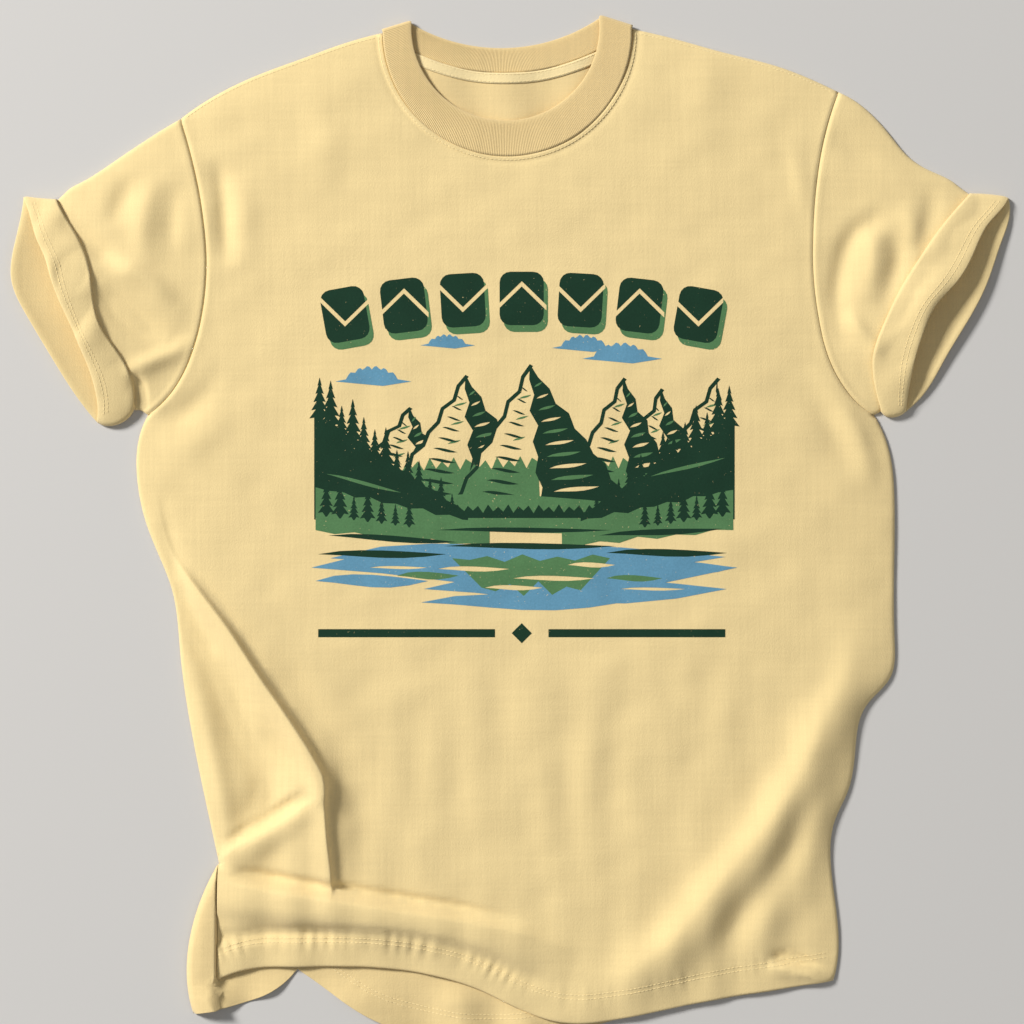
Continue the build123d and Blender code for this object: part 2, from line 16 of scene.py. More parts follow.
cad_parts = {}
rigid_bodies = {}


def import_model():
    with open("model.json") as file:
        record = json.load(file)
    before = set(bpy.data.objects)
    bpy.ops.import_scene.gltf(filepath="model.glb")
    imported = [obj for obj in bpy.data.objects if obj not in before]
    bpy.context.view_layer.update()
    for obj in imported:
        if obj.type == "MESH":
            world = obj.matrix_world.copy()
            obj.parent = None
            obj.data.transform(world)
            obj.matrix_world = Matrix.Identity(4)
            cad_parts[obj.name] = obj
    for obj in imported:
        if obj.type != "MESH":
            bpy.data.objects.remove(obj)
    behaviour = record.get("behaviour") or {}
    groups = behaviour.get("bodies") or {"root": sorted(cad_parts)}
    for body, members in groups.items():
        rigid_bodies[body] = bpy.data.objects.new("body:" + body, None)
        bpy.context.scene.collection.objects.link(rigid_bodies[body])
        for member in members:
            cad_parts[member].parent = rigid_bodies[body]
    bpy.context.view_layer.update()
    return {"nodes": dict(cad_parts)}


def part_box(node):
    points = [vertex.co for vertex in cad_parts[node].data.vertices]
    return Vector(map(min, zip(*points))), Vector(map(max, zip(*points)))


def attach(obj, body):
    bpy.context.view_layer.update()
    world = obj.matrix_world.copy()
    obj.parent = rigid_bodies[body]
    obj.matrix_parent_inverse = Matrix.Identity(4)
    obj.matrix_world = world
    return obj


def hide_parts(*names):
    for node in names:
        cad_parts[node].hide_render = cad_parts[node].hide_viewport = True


for leftover in list(bpy.data.objects):
    bpy.data.objects.remove(leftover)
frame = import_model()

MM = 0.001
JERSEY = 0.85  # thickness of the jersey
RIB = 2.0  # thickness of the folded collar rib
UNDER = 0.1  # the back's underside above the surface
BACK_TOP = UNDER + JERSEY
EDGE = 1.0  # height of the line where front and back meet at a rolled edge
HEM = 25.0
SPACING = 3.4
rng = np.random.default_rng(41)


# -------- lines
def resample(points, spacing=None, count=None):
    """A smooth line through points, as points evenly spaced along it."""
    points = np.asarray(points, float)
    steps = np.linalg.norm(np.diff(points, axis=0), axis=1)
    points = points[np.concatenate([[True], steps > 1e-6])]
    at = np.concatenate([[0], np.cumsum(steps[steps > 1e-6])])
    slope = np.gradient(points, at, axis=0)
    fine = np.linspace(0, at[-1], 12 * len(points))
    k = np.clip(np.searchsorted(at, fine, side="right") - 1, 0, len(at) - 2)
    span = (at[k + 1] - at[k])[:, None]
    s = (fine - at[k])[:, None] / span
    line = (
        (2 * s**3 - 3 * s**2 + 1) * points[k]
        + (s**3 - 2 * s**2 + s) * span * slope[k]
        + (3 * s**2 - 2 * s**3) * points[k + 1]
        + (s**3 - s**2) * span * slope[k + 1]
    )
    run = np.concatenate([[0], np.cumsum(np.linalg.norm(np.diff(line, axis=0), axis=1))])
    if count is None:
        count = max(2, int(round(run[-1] / spacing)) + 1)
    places = np.linspace(0, run[-1], count)
    return np.stack([np.interp(places, run, line[:, c]) for c in range(line.shape[1])], axis=1)


def tangents(line):
    along = np.gradient(line, axis=0)
    return along / np.maximum(np.linalg.norm(along, axis=1, keepdims=True), 1e-9)


def moved_left(line, distance):
    """A line beside another, to the left of the way it runs."""
    along = tangents(line)
    return line + distance * np.stack([-along[:, 1], along[:, 0]], axis=1)


def nearest(places, line):
    """How far each place is from a line, how far to its left it lies (-1 to 1) and how far along."""
    start, step = line[:-1], np.diff(line, axis=0)
    length = np.maximum(np.linalg.norm(step, axis=1), 1e-9)
    before = np.concatenate([[0], np.cumsum(length)])[:-1]
    away, lateral, along = (np.empty(len(places)) for _ in range(3))
    for low in range(0, len(places), 8000):
        part = places[low:low + 8000]
        gap = part[:, None, :] - start[None]
        share = np.clip((gap * step).sum(2) / length**2, 0, 1)
        off = gap - share[..., None] * step
        square = (off**2).sum(2)
        best = square.argmin(1)
        rows = np.arange(len(part))
        distance = np.sqrt(square[rows, best])
        turn = step[best, 0] * off[rows, best, 1] - step[best, 1] * off[rows, best, 0]
        away[low:low + 8000] = distance
        lateral[low:low + 8000] = turn / (length[best] * np.maximum(distance, 1e-6))
        along[low:low + 8000] = before[best] + share[rows, best] * length[best]
    return away, lateral, along


def inside(places, loops):
    """Whether each place is inside closed loops, holes counted."""
    starts = np.concatenate(loops)
    ends = np.concatenate([np.roll(loop, -1, axis=0) for loop in loops])
    found = np.zeros(len(places), bool)
    for low in range(0, len(places), 4000):
        x, y = places[low:low + 4000, 0][:, None], places[low:low + 4000, 1][:, None]
        spans = (starts[:, 1] > y) != (ends[:, 1] > y)
        with np.errstate(divide="ignore", invalid="ignore"):
            slant = (ends[:, 0] - starts[:, 0]) / (ends[:, 1] - starts[:, 1])
            cross = starts[:, 0] + (y - starts[:, 1]) * slant
        found[low:low + 4000] = (spans & (x < cross)).sum(1) % 2 == 1
    return found


def loops_of(node, level):
    """The outlines of a solid's level faces at one height, longest first."""
    mesh = frame["nodes"][node].data
    corners = np.array([v.co[:] for v in mesh.vertices]) / MM
    names, edges = {}, {}
    for face in mesh.polygons:
        if np.abs(corners[list(face.vertices), 2] - level).max() > 0.02:
            continue
        ring = [names.setdefault(tuple(np.round(corners[v, :2], 3)), len(names)) for v in face.vertices]
        for a, b in zip(ring, ring[1:] + ring[:1]):
            if edges.pop((b, a), None) is None:
                edges[(a, b)] = True
    places = np.array(list(names))
    following = {}
    for a, b in edges:
        following.setdefault(a, []).append(b)
    loops, walk = [], []
    while following or walk:
        if not walk:
            walk = [next(iter(following))]
        at = following[walk[-1]].pop()
        if not following[walk[-1]]:
            del following[walk[-1]]
        if at in walk:
            loops.append(places[walk[walk.index(at):]])
            walk = walk[:walk.index(at)]
            if walk:
                walk.append(at)
        else:
            walk.append(at)
    return sorted(loops, key=lambda loop: -np.linalg.norm(loop - np.roll(loop, 1, axis=0), axis=1).sum())


def runs(loop, *others):
    """A loop cut where it starts or stops being shared with another: (which other or None, line)."""
    sets = [{tuple(np.round(p, 2)) for other in group for p in other} for group in others]
    keys = [tuple(np.round(p, 2)) for p in loop]
    count = len(loop)
    marks = []
    for k in range(count):
        both = [i for i, s in enumerate(sets) if keys[k] in s and keys[(k + 1) % count] in s]
        marks.append(both[0] if both else None)
    turn = next((k for k in range(count) if marks[k] != marks[k - 1]), 0)
    found = []
    for k in range(count):
        edge = (turn + k) % count
        if not found or found[-1][0] != marks[edge]:
            found.append((marks[edge], [loop[edge]]))
        found[-1][1].append(loop[(edge + 1) % count])
    return [(mark, np.array(line)) for mark, line in found]


def downward(line):
    """The line run from its upper end to its lower end."""
    return line if line[0][1] > line[-1][1] else line[::-1]


# -------- outlines from the solids
FRONT_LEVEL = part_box("front_panel")[1].z / MM
CUFF_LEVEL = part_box("left_sleeve")[1].z / MM
COLLAR_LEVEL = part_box("collar_rib")[1].z / MM
front_loop = loops_of("front_panel", FRONT_LEVEL)[0]
back_loop = loops_of("back_panel", 0)[0]
collar_front = loops_of("collar_rib", COLLAR_LEVEL)[0]
collar_back = loops_of("collar_rib", 0)[0]


def part_between(loop, start, end, wanted):
    """The way round a loop from one place on it to another, whichever way lies nearer the wanted place."""
    first, last = (np.linalg.norm(loop - place, axis=1).argmin() for place in (start, end))
    ahead = np.roll(loop, -first, axis=0)[: (last - first) % len(loop) + 1]
    back = np.roll(loop[::-1], -(len(loop) - 1 - first), axis=0)[: (first - last) % len(loop) + 1]
    return min(ahead, back, key=lambda line: np.linalg.norm(line - wanted, axis=1).min())


def sleeve_lines(side):
    """The seams, folds and edges of a sleeve, each from its upper end to its lower end."""
    node = f"{side}_sleeve"
    cuff = loops_of(node, CUFF_LEVEL)[0]
    tube = loops_of(node, FRONT_LEVEL)[0]
    ground = loops_of(node, 0)
    outward = -1 if side == "left" else 1
    shared = [line for mark, line in runs(cuff, ground) if mark == 0]
    shared.sort(key=lambda line: -line[:, 1].mean())
    free = [line for mark, line in runs(cuff, ground) if mark is None]
    free.sort(key=lambda line: outward * line[:, 0].mean())
    edge, rim = downward(free[0]), downward(free[-1])
    armhole = downward(next(line for mark, line in runs(tube, [front_loop]) if mark == 0))
    under_loop = min(ground, key=lambda loop: np.linalg.norm(loop - rim[0], axis=1).min())
    far = rim[len(rim) // 2] + np.array([outward * 40, -20])
    lower_rim = part_between(under_loop, rim[0], rim[-1], far)
    count = len(lower_rim)
    share = np.linspace(0, 1, count)[:, None]
    lower_edge = lower_rim + (edge[0] - rim[0]) * (1 - share) + (edge[-1] - rim[-1]) * share
    lower_edge -= np.array([outward * 8, 0]) * np.sin(math.pi * share)
    high, low = tube[:, 1] > armhole[0, 1] - 1, armhole[-1] + np.array([outward * 5, 3])
    cuff_top, cuff_under = shared[0], shared[-1]
    if np.linalg.norm(cuff_top[0] - edge[0]) > 1:
        cuff_top = cuff_top[::-1]
    if np.linalg.norm(cuff_under[0] - edge[-1]) > 1:
        cuff_under = cuff_under[::-1]
    over = tube[high].mean(0) + [outward * 20, 0]
    top_fold = part_between(tube, armhole[0], edge[0], over)
    underarm = part_between(tube, armhole[-1], edge[-1], low)
    return {
        "armhole": armhole,
        "top_fold": np.concatenate([top_fold[:-1], edge[:1]]),
        "underarm": np.concatenate([underarm[:-1], edge[-1:]]),
        "upper_edge": edge, "upper_rim": rim, "lower_edge": lower_edge, "lower_rim": lower_rim,
        "cuff_top": cuff_top, "cuff_under": cuff_under,
    }


sleeves = {side: sleeve_lines(side) for side in ("left", "right")}


left_arm, right_arm = sleeves["left"]["armhole"], sleeves["right"]["armhole"]
front_runs = runs(front_loop, [left_arm], [right_arm], [collar_front], [back_loop])
back_runs = runs(back_loop, [left_arm], [right_arm], [collar_back], [front_loop])
front_neck = next(line for mark, line in front_runs if mark == 2)[::-1]
back_neck = next(line for mark, line in back_runs if mark == 2)
front_hem = next(line for mark, line in front_runs if mark is None)
back_hem = next(line for mark, line in back_runs if mark is None)
right_side, right_shoulder, left_shoulder, left_side = [line for mark, line in front_runs if mark == 3]
tuck = left_side[-1]
front_left_corner = front_hem[1]
rolled_edges = [left_side, right_side, left_shoulder, right_shoulder]
rolled_edges += [sleeves[side][name] for side in sleeves for name in ("top_fold", "underarm")]
HEM_LINE = resample(front_hem[1:], 6)


# -------- folds
# Each fold is the line of its crest with how high it stands along it, and how wide it is to the left and
# right. A hollow has heights below zero. Each crease ends with how squarely its right side falls.
CREASES = [
    ([(-268, 33, 0), (-252, -20, 3), (-232, -46, 6), (-211, -73, 8), (-188, -108, 9), (-165, -141, 10),
      (-148, -168, 11), (-140, -184, 10.5), (-139.5, -197, 9)], 3.2, 13, 2),
    ([(-139.5, -197, 0), (-146, -200.5, 5), (-154, -205.5, 8), (-178.6, -221.8, 8), (-205.5, -237, 7),
      (-219, -248.7, 5)], 17, 6, 2),
    ([(-139.5, -197, 9), (-137.5, -227.6, 7.5), (-134.6, -256, 6), (-133.7, -276.4, 4)], 2.6, 40, 2),
    ([(-218, -262, 5), (-194, -267, 8), (-163.5, -271.5, 10), (-133, -276, 10), (-85, -284, 9),
      (-37, -292, 7), (14, -303, 4), (50, -318, 0)], 8, 23, 4),
]
SWELLS = [
    ([(-262, 20, 0), (-232, -40, 2), (-188, -100, 3.5), (-150, -160, 5), (-138, -196, 5), (-136, -240, 4),
      (-134, -276, 2)], 30, 10),
    ([(-196, -74, 0), (-168, -108, -2.5), (-140, -146, -3.5), (-119, -186, -4), (-114, -222, -2.5),
      (-112, -250, -1), (-112, -270, 0)], 15, 13),
    ([(-148, -192, 0), (-162, -201, -4), (-182, -214, -5), (-206, -229, -3.5)], 8, 3.5),
    ([(-185, -150, 0), (-178, -186, -3), (-192, -210, -3), (-206, -222, -1)], 14, 12),
    ([(-246, -40, 0), (-222, -106, -3), (-196, -160, -4), (-184, -200, -3)], 13, 11),
    ([(-208, -253, 0), (-190, -256, -4), (-163, -260, -5), (-133, -265, -5), (-85, -273, -5),
      (-37, -281, -4), (10, -292, 0)], 3, 8),
    ([(-216, -303, -2), (-160, -299, -3), (-113, -299, -3), (-66, -304, -3), (-22, -317, -2.5),
      (9, -332, -1.5), (40, -341, 0)], 4.5, 5.5),
    ([(-264, 24, 0), (-256, -10, -2.5), (-245, -50, -3.5), (-230, -88, -2)], 6, 7),
    ([(-246, -84, 1), (-234, -128, 3.5), (-218, -190, 4), (-212, -225, 2)], 9, 9),
    ([(268, -60, 0), (252, -110, 5), (236.6, -141.5, 8), (211.8, -193.3, 10), (183, -233.3, 10),
      (144.8, -279.3, 10), (114, -313.7, 9), (92, -330, 6), (64.5, -345, 2)], 24, 15),
    ([(250, -176, 0), (232, -222, 2.5), (212, -262, 3.5), (190, -294, 3), (172, -318, 1.5)], 16, 14),
    ([(240, -160, 0), (220, -212, -1.6), (197, -252, -2.2), (168, -292, -2), (146, -316, -1)], 11, 11),
    ([(190.7, -317, 0), (202, -318, -3), (221, -323, -3), (238.5, -330, -1)], 4, 4),
    ([(190.7, -325, 0), (202, -327, 4), (221, -330, 5), (238.5, -333, 2)], 5, 6),
    ([(-306, 207, 0), (-288, 197, 3), (-268, 186, 3.5), (-250, 168, 1)], 8, 8),
    ([(-306, 184, -2), (-290, 164, -5), (-272, 150, -4), (-258, 142, -1)], 13, 12),
    ([(-336, 236, 0), (-318, 219, -3.5), (-298, 203, -3), (-284, 196, 0)], 8, 7),
    ([(-284, 268, 0), (-289, 252, -2.5), (-294, 238, -2), (-296, 226, 0)], 9, 8),
    ([(-262, 268, 0), (-272, 244, 2.5), (-274, 214, 2), (-268, 196, 0)], 9, 9),
    ([(-250, 262, 0), (-254, 230, -1.8), (-252, 200, 0)], 7, 7),
    ([(-290, 118, 0), (-273, 125, 3.5), (-245, 138, 2), (-234, 146, 0)], 6, 7),
    ([(-282, 120, 0), (-277, 108, -4), (-275, 94, -3)], 3.5, 6),
    ([(-222, 280, 0), (-217, 258, -3), (-214, 222, -3), (-212, 196, 0)], 7, 6),
    ([(-200, 270, 0), (-198, 232, 1.8), (-202, 190, 0)], 10, 10),
    ([(-262, 96, 0), (-250, 88, -2.5), (-232, 100, -2), (-214, 128, 0)], 9, 9),
    ([(-262, 60, 0), (-238, 66, 2), (-206, 92, 0)], 12, 12),
    ([(282, 244, 0), (272, 234, -2), (257, 222, -3.5), (247.5, 199, -4), (244, 175, -3.5),
      (248, 146, -1)], 8, 8),
    ([(276, 228, 0), (271, 214, 3.5), (270, 199, 4), (266, 180, 2)], 9, 9),
    ([(250, 166, 0), (256, 156, 2.5), (271, 137, 2)], 6, 6),
    ([(284, 226, 0), (289, 206, -3), (284, 184, -2), (276, 160, 0)], 7, 7),
    ([(292, 246, 0), (300, 226, 2.5), (301, 210, 1)], 8, 7),
    ([(312, 262, 0), (314, 240, -2.5), (306, 216, -2)], 8, 8),
    ([(236, 300, 0), (262, 282, -1.6), (290, 268, 0)], 9, 9),
    ([(206, 300, 0), (216, 262, 1.6), (220, 224, 0)], 10, 6),
    ([(226, 128, 0), (246, 98, 2.5), (262, 66, 3), (270, 30, 0)], 8, 9),
    ([(214, 110, 0), (238, 80, -2), (252, 40, 0)], 9, 9),
    ([(150, 372, 0), (146, 330, 1.4), (150, 280, 0)], 14, 14),
    ([(-150, 340, 0), (-140, 300, 1.4), (-142, 250, 0)], 14, 14),
]


def waves(places, count, shortest, longest, height, lean=None):
    """Soft unevenness: waves of many lengths, running every way or all leaning one way."""
    total = np.zeros(len(places))
    for _ in range(count):
        length = rng.uniform(shortest, longest)
        angle = rng.uniform(0, 2 * math.pi) if lean is None else lean + rng.normal(0, 0.22)
        phase = rng.uniform(0, 2 * math.pi)
        way = np.array([math.cos(angle), math.sin(angle)])
        total += height * (length / longest) * np.sin(2 * math.pi * (places @ way) / length + phase)
    return total / math.sqrt(count / 2)


class Waves:
    """The same waves wherever they are asked for."""

    def __init__(self, *settings, **lean):
        self.seed = int(rng.integers(1 << 30))
        self.settings, self.lean = settings, lean

    def at(self, places):
        global rng
        kept, rng = rng, np.random.default_rng(self.seed)
        total = waves(places, *self.settings, **self.lean)
        rng = kept
        return total


CLOTH_WAVES = Waves(22, 20, 80, 0.36)
DROP_WAVES = Waves(9, 22, 60, 0.55, lean=0.05)


def quarter(share):
    """A quarter circle's height, from 0 at its foot to 1 at its top."""
    return np.sqrt(1 - (1 - np.clip(share, 0, 1)) ** 2)


def swell(places, points, left, right, power=2):
    line = resample(points, 3)
    away, lateral, along = nearest(places, line[:, :2])
    run = np.concatenate([[0], np.cumsum(np.linalg.norm(np.diff(line[:, :2], axis=0), axis=1))])
    width = right + (left - right) * (0.5 + 0.5 * lateral)
    far_side = np.where(lateral < 0, power, 2)
    return np.interp(along, run, line[:, 2]) * np.exp(-(away / width) ** far_side)


def to_edges(places, edges):
    return np.min([nearest(places, edge)[0] for edge in edges], axis=0)


def hem_rows(line, depth=HEM):
    return [line + np.array([0, depth - 3.0]), line + np.array([0, depth - 6.2])]


RISE = 4.0  # how much higher the cloth lies in the middle than near its rolled edges
ROLL_RADIUS = 3.4
SOFT_TOP = 18.0  # folds above this height are pressed flatter


def surface(places, roll):
    """Height of the front layer's upper face, given how far each place is from the nearest rolled edge."""
    hem_away = nearest(places, HEM_LINE)[0]
    neck_away = nearest(places, front_neck)[0]
    near_hem, near_neck = np.exp(-hem_away / 24), np.exp(-neck_away / 14)
    rise = RISE * (1 - np.exp(-roll / 32)) * (1 - 0.6 * near_hem) * (1 - 0.3 * near_neck)
    z = EDGE + 2.1 * quarter(roll / ROLL_RADIUS) + rise
    total = sum(np.maximum(swell(places, *crease), 0) ** 3 for crease in CREASES) ** (1 / 3)
    total = total + sum(swell(places, *fold) for fold in SWELLS)
    total = total + CLOTH_WAVES.at(places)
    total = total + DROP_WAVES.at(places) * np.clip((-60 - places[:, 1]) / 120, 0, 1)
    z = z + total * (1 - np.exp(-roll / 7))
    for seam in (left_arm, right_arm):
        away = nearest(places, seam)[0]
        z = z - 0.45 * np.exp(-(away / 1.3) ** 2) + 0.35 * np.exp(-((away - 2.8) / 1.8) ** 2)
    z = z + 0.5 * np.exp(-((neck_away - 1.8) / 1.4) ** 2) - 0.5 * np.exp(-((neck_away - 4.6) / 1.2) ** 2)
    z = np.maximum(z, EDGE + 1.9 * quarter(roll / ROLL_RADIUS))
    return np.where(z > SOFT_TOP, SOFT_TOP + 3.5 * np.tanh((z - SOFT_TOP) / 3.5), z)


def pucker(places, line, depth):
    """The small uneven gathers along a stitched hem."""
    away, lateral, along = nearest(places, line)
    wave = np.sin(along * 0.74 + 2.1 * np.sin(along / 17)) * (0.55 + 0.45 * np.sin(along / 11 + 1))
    wave = wave + 0.5 * np.sin(along * 0.43 + 1.7 * np.sin(along / 29))
    return np.exp(-(away / 8) ** 2) * depth * wave - 0.45 * np.exp(-(away / 1.6) ** 2)


# -------- meshes
def triangulated(loops, extra):
    """Upward triangles that fill closed loops, with extra places inside them."""
    places = np.concatenate([*loops, extra])
    edges, start = [], 0
    for loop in loops:
        edges += [(start + k, start + (k + 1) % len(loop)) for k in range(len(loop))]
        start += len(loop)
    made, _, faces, *_ = delaunay_2d_cdt([Vector(place) for place in places], edges, [], 0, 1e-5)
    made = np.array([tuple(v)[:2] for v in made])
    faces = np.array(faces)
    a, b, c = (made[faces[:, k]] for k in range(3))
    turn = (b[:, 0] - a[:, 0]) * (c[:, 1] - a[:, 1]) - (b[:, 1] - a[:, 1]) * (c[:, 0] - a[:, 0])
    faces[turn < 0] = faces[turn < 0][:, ::-1]
    faces = faces[inside((a + b + c) / 3, loops) & (np.abs(turn) > 1e-7)]
    used, faces = np.unique(faces, return_inverse=True)
    return made[used], faces.reshape(-1, 3)


def lattice(loops, spacing, rows=(), margin=0.75):
    """Places spread evenly inside loops, with closer rows where the cloth turns sharply."""
    every = np.concatenate(loops)
    low, high = every.min(0), every.max(0)
    columns = np.arange(low[0], high[0], spacing)
    lines = np.arange(low[1], high[1], spacing * math.sqrt(0.75))
    x, y = np.meshgrid(columns, lines)
    x = x + np.where(np.arange(len(lines)) % 2, spacing / 2, 0)[:, None]
    even = np.stack([x.ravel(), y.ravel()], axis=1)
    even += rng.uniform(-0.12, 0.12, even.shape) * spacing
    kept = [np.empty((0, 2))]
    tree = kdtree.KDTree(sum(len(row) for row in rows) + len(every) + 1)
    count = 0
    for row in rows:
        row = row[inside(row, loops)]
        kept.append(row)
        for place in row:
            tree.insert((*place, 0), count)
            count += 1
    for place in every:
        tree.insert((*place, 0), count)
        count += 1
    tree.balance()
    even = even[inside(even, loops)]
    clear = np.array([tree.find((*place, 0))[2] > margin * spacing for place in even], bool)
    return np.concatenate([*kept, even[clear]])


def edge_rows(line, sides, spacing=3.0):
    """Rows beside an edge that follow it."""
    smooth = resample(line, spacing)
    return [moved_left(smooth, side)[1:-1] for side in sides]


def new_piece(name, places, faces, material, nodes=(), smooth=True):
    """A piece from places in millimetres."""
    mesh = bpy.data.meshes.new(name)
    mesh.from_pydata((np.asarray(places) * MM).tolist(), [], [list(map(int, face)) for face in faces])
    mesh.validate()
    piece = bpy.data.objects.new(name, mesh)
    bpy.context.scene.collection.objects.link(piece)
    mesh.materials.append(material)
    if smooth:
        mesh.shade_smooth()
    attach(piece, "root")
    if nodes:
        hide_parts(*nodes)
    return piece


def thicken(piece, thickness):
    solid = piece.modifiers.new("thickness", "SOLIDIFY")
    solid.thickness = thickness * MM
    solid.offset = -1
    solid.use_even_offset = True
    solid.use_quality_normals = True
    solid.thickness_clamp = 1.2
    return piece


def tree_over(*pieces):
    """The pieces' upper faces, to find the height at a place from above."""
    points, faces = [], []
    graph = bpy.context.evaluated_depsgraph_get()
    for piece in pieces:
        mesh = piece.evaluated_get(graph).to_mesh()
        start = len(points)
        points += [v.co[:] for v in mesh.vertices]
        faces += [[start + v for v in face.vertices] for face in mesh.polygons]
    return BVHTree.FromPolygons(points, faces)


def heights(tree, places):
    """The height of the uppermost face under each place."""
    found = np.full(len(places), np.nan)
    for k, place in enumerate(places):
        hit = tree.ray_cast(Vector((place[0] * MM, place[1] * MM, 0.06)), Vector((0, 0, -1)))[0]
        if hit is not None:
            found[k] = hit.z / MM
    good = ~np.isnan(found)
    return np.interp(np.arange(len(places)), np.flatnonzero(good), found[good])


# -------- materials
def colour(*screen):
    """A screen colour as the linear values that a shader takes."""
    linear = [v / 255 / 12.92 if v < 11 else ((v / 255 + 0.055) / 1.055) ** 2.4 for v in screen]
    return (*linear, 1.0)


def material(name):
    made = bpy.data.materials.new(name)
    made.use_nodes = True
    nodes, links = made.node_tree.nodes, made.node_tree.links
    return made, nodes, links, nodes["Principled BSDF"]


def noise(nodes, links, coordinates, scale, detail=3.0, stretch=(1, 1, 1)):
    place = nodes.new("ShaderNodeMapping")
    place.inputs["Scale"].default_value = stretch
    links.new(coordinates, place.inputs["Vector"])
    texture = nodes.new("ShaderNodeTexNoise")
    texture.inputs["Scale"].default_value = scale
    texture.inputs["Detail"].default_value = detail
    links.new(place.outputs["Vector"], texture.inputs["Vector"])
    return texture.outputs["Fac"]


def spread(nodes, links, value, low, high):
    """A noise value, centred on a half, as a factor between two numbers."""
    step = nodes.new("ShaderNodeMapRange")
    step.inputs["From Min"].default_value = 0.3
    step.inputs["From Max"].default_value = 0.7
    step.inputs["To Min"].default_value = low
    step.inputs["To Max"].default_value = high
    links.new(value, step.inputs["Value"])
    return step.outputs["Result"]


def times(nodes, links, a, b):
    product = nodes.new("ShaderNodeMath")
    product.operation = "MULTIPLY"
    links.new(a, product.inputs[0])
    links.new(b, product.inputs[1])
    return product.outputs[0]


def tinted(nodes, links, factor, base):
    """A colour made lighter and darker by a factor."""
    mix = nodes.new("ShaderNodeVectorMath")
    mix.operation = "SCALE"
    mix.inputs[0].default_value = base[:3]
    links.new(factor, mix.inputs["Scale"])
    return mix.outputs[0]


def fabric(name, base, grain=0.35, streaks=0.025, mottle=0.028):
    """Garment-dyed cotton: a soft matt cloth with faint streaks along and across and uneven dye."""
    made, nodes, links, shader = material(name)
    place = nodes.new("ShaderNodeTexCoord").outputs["Object"]
    patches = spread(nodes, links, noise(nodes, links, place, 28, 4), 1 - mottle, 1 + mottle)
    wales = noise(nodes, links, place, 520, 2, (1, 0.035, 0.2))
    upright = spread(nodes, links, wales, 1 - streaks, 1 + streaks)
    courses = noise(nodes, links, place, 420, 2, (0.045, 1, 0.2))
    level = spread(nodes, links, courses, 1 - streaks * 0.7, 1 + streaks * 0.7)
    fleck = spread(nodes, links, noise(nodes, links, place, 1300, 1), 1 - 0.02, 1 + 0.02)
    factor = times(nodes, links, times(nodes, links, patches, upright), times(nodes, links, level, fleck))
    links.new(tinted(nodes, links, factor, base), shader.inputs["Base Color"])
    shader.inputs["Roughness"].default_value = 0.95
    shader.inputs["Specular IOR Level"].default_value = 0.15
    shader.inputs["Sheen Weight"].default_value = 0.25
    shader.inputs["Sheen Roughness"].default_value = 0.6
    bump = nodes.new("ShaderNodeBump")
    bump.inputs["Strength"].default_value = grain
    bump.inputs["Distance"].default_value = 0.0006
    links.new(times(nodes, links, noise(nodes, links, place, 900, 2), upright), bump.inputs["Height"])
    links.new(bump.outputs["Normal"], shader.inputs["Normal"])
    return made


def printed(name, base, cloth, wear=0.62):
    """Screen ink sunk in cotton, worn through in fine specks."""
    made, nodes, links, shader = material(name)
    place = nodes.new("ShaderNodeTexCoord").outputs["Object"]
    factor = spread(nodes, links, noise(nodes, links, place, 60, 4), 0.94, 1.06)
    grain = spread(nodes, links, noise(nodes, links, place, 700, 2), 0.93, 1.07)
    shade = tinted(nodes, links, times(nodes, links, factor, grain), base)
    specks = nodes.new("ShaderNodeMapRange")
    specks.inputs["From Min"].default_value = wear
    specks.inputs["From Max"].default_value = wear + 0.05
    specks.inputs["To Max"].default_value = 0.65
    links.new(noise(nodes, links, place, 620, 3), specks.inputs["Value"])
    mix = nodes.new("ShaderNodeMix")
    mix.data_type = "RGBA"
    links.new(specks.outputs["Result"], mix.inputs["Factor"])
    links.new(shade, mix.inputs["A"])
    mix.inputs["B"].default_value = cloth
    links.new(mix.outputs["Result"], shader.inputs["Base Color"])
    shader.inputs["Roughness"].default_value = 0.85
    shader.inputs["Specular IOR Level"].default_value = 0.2
    bump = nodes.new("ShaderNodeBump")
    bump.inputs["Strength"].default_value = 0.215
    bump.inputs["Distance"].default_value = 0.0004
    links.new(noise(nodes, links, place, 900, 2), bump.inputs["Height"])
    links.new(bump.outputs["Normal"], shader.inputs["Normal"])
    return made


CLOTH_COLOUR = colour(236, 212, 154)
jersey = fabric("jersey", CLOTH_COLOUR)
# The back layer's jersey is painted a little darker than the front: painted shade of the places where it
# shows, inside the neck opening and below the front's hem.
jersey_inside_painted_shade = fabric("jersey_inside_painted_shade", colour(230, 205, 148))
# The collar rib is painted darker than the body cloth: painted shade of the band round the neck opening.
rib_knit = fabric("rib_knit", colour(224, 198, 142), grain=0.25)
twill = fabric("twill", colour(240, 219, 165), grain=0.5)
thread = fabric("thread", colour(246, 226, 172), grain=0.1, streaks=0.01)
ink_dark = printed("ink_dark_green", colour(22, 55, 38), CLOTH_COLOUR, 0.72)
ink_mid = printed("ink_mid_green", colour(84, 126, 82), CLOTH_COLOUR, 0.69)
ink_blue = printed("ink_blue", colour(98, 150, 178), CLOTH_COLOUR, 0.69)


# -------- front and back
def smooth_loop(lines, spacing=3.0):
    """One closed outline from lines that meet end to end."""
    parts = [resample(line, spacing)[:-1] for line in lines]
    return np.concatenate(parts)


